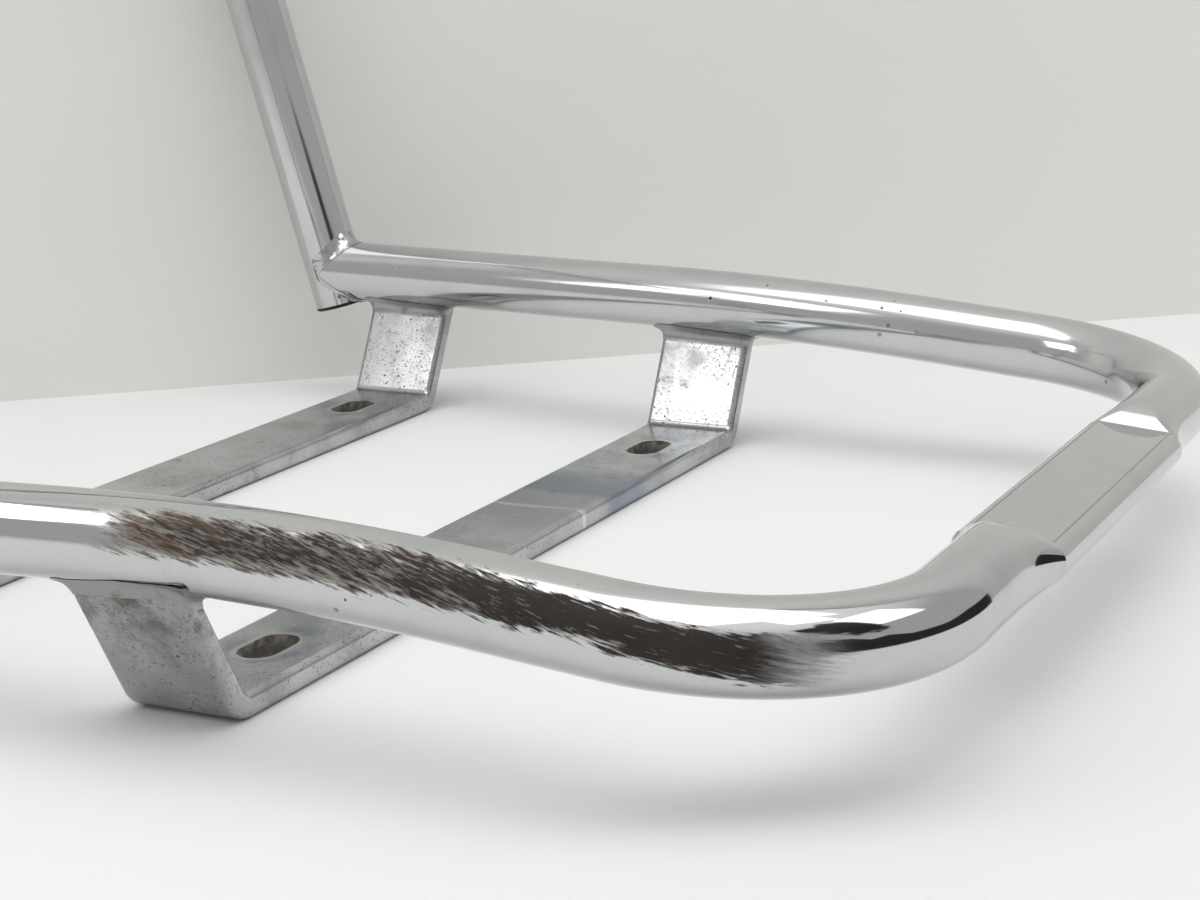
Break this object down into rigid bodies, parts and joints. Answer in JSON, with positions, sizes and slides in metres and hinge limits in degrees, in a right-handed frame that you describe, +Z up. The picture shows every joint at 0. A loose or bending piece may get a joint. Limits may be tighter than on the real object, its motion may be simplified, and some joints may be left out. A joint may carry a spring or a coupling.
{
  "type": "motorcycle luggage rack",
  "caption": "Tubular luggage rack: a closed loop with a pressed-flat rear tube, a backrest hoop, and bent straps with bolt slots.",
  "frame": {"origin": "midway between the front strap's two bolt slots, on the underside of the strap", "axes": "+X to the motorcycle's rear, +Y to the rider's right, +Z up; the loop is symmetrical about the XZ plane"},
  "size_m": [0.3876, 0.3534, 0.2592],
  "materials": {
    "chrome_tube": "bright chrome plating, pitted, with one worn and stained patch along the left rail",
    "chrome_strap": "dulled chrome plating with small dark pits and brown stains",
    "weld": "chrome plating over smoothed welds",
    "end_plug": "black moulded plastic"
  },
  "bodies": {
    "root": {"rack_loop": "chrome_tube", "backrest_hoop": "chrome_tube", "rear_strap": "chrome_strap", "front_strap": "chrome_strap", "left_end_plug": "end_plug", "right_end_plug": "end_plug", "rear_left_weld": "weld", "rear_right_weld": "weld", "front_left_weld": "weld", "front_right_weld": "weld", "hoop_left_weld": "weld", "hoop_right_weld": "weld"}
  },
  "joints": []
}
